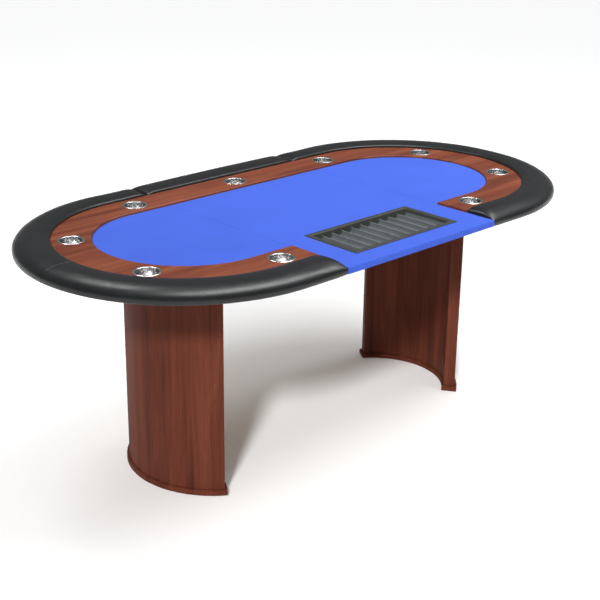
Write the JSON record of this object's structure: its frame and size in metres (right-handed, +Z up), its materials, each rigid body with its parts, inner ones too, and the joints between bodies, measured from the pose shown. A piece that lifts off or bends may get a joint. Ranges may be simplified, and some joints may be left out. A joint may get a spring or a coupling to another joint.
{
  "type": "poker table",
  "caption": "Stadium-shaped poker table with a blue felt top, wood-finish racetrack with steel cups, padded black rail with a dealer's gap, chip tray and two curved panel legs.",
  "frame": {"origin": "on the floor under the middle of the table top", "axes": "+X along the table's length, +Y away from the dealer, +Z up"},
  "size_m": [2.08, 1.07, 0.81],
  "materials": {
    "board": "matte",
    "mahogany": "satin",
    "leg_mahogany": "satin",
    "felt": "matte",
    "leather": "satin",
    "steel": "polished",
    "zinc": "satin",
    "tray": "matte",
    "glide": "satin"
  },
  "bodies": {
    "table": {"board_left": "board", "board_middle": "board", "board_right": "board", "felt_left": "felt", "felt_middle": "felt", "felt_right": "felt", "racetrack_left": "mahogany", "racetrack_back": "mahogany", "racetrack_right": "mahogany", "rail_core_front_left": "board", "rail_core_back_left": "board", "rail_core_back": "board", "rail_core_back_right": "board", "rail_core_front_right": "board", "rail_pad_front_left": "leather", "rail_pad_back_left": "leather", "rail_pad_back": "leather", "rail_pad_back_right": "leather", "rail_pad_front_right": "leather", "leg_core_left": "leg_mahogany", "leg_core_right": "leg_mahogany", "leg_outer_skin_left": "leg_mahogany", "leg_outer_skin_right": "leg_mahogany", "leg_inner_skin_left": "leg_mahogany", "leg_inner_skin_right": "leg_mahogany", "leg_base_left": "leg_mahogany", "leg_base_right": "leg_mahogany", "leg_cleat_left": "leg_mahogany", "leg_cleat_right": "leg_mahogany", "leg_bolts_left": "zinc", "leg_bolts_right": "zinc", "floor_glides": "glide", "leg_screws": "zinc", "rail_screws": "zinc", "alignment_dowels": "board", "latch_bases": "zinc", "latch_keepers": "zinc", "latch_screws": "zinc"},
    "cup_1": {"cup_1": "steel"},
    "cup_2": {"cup_2": "steel"},
    "cup_3": {"cup_3": "steel"},
    "cup_4": {"cup_4": "steel"},
    "cup_5": {"cup_5": "steel"},
    "cup_6": {"cup_6": "steel"},
    "cup_7": {"cup_7": "steel"},
    "cup_8": {"cup_8": "steel"},
    "cup_9": {"cup_9": "steel"},
    "chip_tray": {"chip_tray": "tray"},
    "latch_lever_1": {"latch_lever_1": "zinc"},
    "latch_loop_1": {"latch_loop_1": "zinc"},
    "latch_lever_2": {"latch_lever_2": "zinc"},
    "latch_loop_2": {"latch_loop_2": "zinc"},
    "latch_lever_3": {"latch_lever_3": "zinc"},
    "latch_loop_3": {"latch_loop_3": "zinc"},
    "latch_lever_4": {"latch_lever_4": "zinc"},
    "latch_loop_4": {"latch_loop_4": "zinc"}
  },
  "joints": [
    {"name": "cup_1_lift", "type": "slide", "parent": "table", "child": "cup_1", "axis": [0, 0, 1], "range_m": [0, 0.055]},
    {"name": "cup_2_lift", "type": "slide", "parent": "table", "child": "cup_2", "axis": [0, 0, 1], "range_m": [0, 0.055]},
    {"name": "cup_3_lift", "type": "slide", "parent": "table", "child": "cup_3", "axis": [0, 0, 1], "range_m": [0, 0.055]},
    {"name": "cup_4_lift", "type": "slide", "parent": "table", "child": "cup_4", "axis": [0, 0, 1], "range_m": [0, 0.055]},
    {"name": "cup_5_lift", "type": "slide", "parent": "table", "child": "cup_5", "axis": [0, 0, 1], "range_m": [0, 0.055]},
    {"name": "cup_6_lift", "type": "slide", "parent": "table", "child": "cup_6", "axis": [0, 0, 1], "range_m": [0, 0.055]},
    {"name": "cup_7_lift", "type": "slide", "parent": "table", "child": "cup_7", "axis": [0, 0, 1], "range_m": [0, 0.055]},
    {"name": "cup_8_lift", "type": "slide", "parent": "table", "child": "cup_8", "axis": [0, 0, 1], "range_m": [0, 0.055]},
    {"name": "cup_9_lift", "type": "slide", "parent": "table", "child": "cup_9", "axis": [0, 0, 1], "range_m": [0, 0.055]},
    {"name": "tray_lift", "type": "slide", "parent": "table", "child": "chip_tray", "axis": [0, 0, 1], "range_m": [0, 0.04]},
    {"name": "latch_1_lever", "type": "hinge", "parent": "table", "child": "latch_lever_1", "pos_m": [-0.312, -0.28, 0.756], "axis": [0, 1, 0], "range_deg": [0, 140]},
    {"name": "latch_1_loop", "type": "hinge", "parent": "latch_lever_1", "child": "latch_loop_1", "pos_m": [-0.304, -0.28, 0.756], "axis": [0, 1, 0], "range_deg": [-140, 0]},
    {"name": "latch_2_lever", "type": "hinge", "parent": "table", "child": "latch_lever_2", "pos_m": [-0.312, 0.28, 0.756], "axis": [0, 1, 0], "range_deg": [0, 140]},
    {"name": "latch_2_loop", "type": "hinge", "parent": "latch_lever_2", "child": "latch_loop_2", "pos_m": [-0.304, 0.28, 0.756], "axis": [0, 1, 0], "range_deg": [-140, 0]},
    {"name": "latch_3_lever", "type": "hinge", "parent": "table", "child": "latch_lever_3", "pos_m": [0.312, 0.28, 0.756], "axis": [0, -1, 0], "range_deg": [0, 140]},
    {"name": "latch_3_loop", "type": "hinge", "parent": "latch_lever_3", "child": "latch_loop_3", "pos_m": [0.304, 0.28, 0.756], "axis": [0, -1, 0], "range_deg": [-140, 0]},
    {"name": "latch_4_lever", "type": "hinge", "parent": "table", "child": "latch_lever_4", "pos_m": [0.312, -0.28, 0.756], "axis": [0, -1, 0], "range_deg": [0, 140]},
    {"name": "latch_4_loop", "type": "hinge", "parent": "latch_lever_4", "child": "latch_loop_4", "pos_m": [0.304, -0.28, 0.756], "axis": [0, -1, 0], "range_deg": [-140, 0]}
  ],
  "couplings": [
    {"joint": "latch_1_loop", "follows": "latch_1_lever", "ratio": -1},
    {"joint": "latch_2_loop", "follows": "latch_2_lever", "ratio": -1},
    {"joint": "latch_3_loop", "follows": "latch_3_lever", "ratio": -1},
    {"joint": "latch_4_loop", "follows": "latch_4_lever", "ratio": -1}
  ]
}
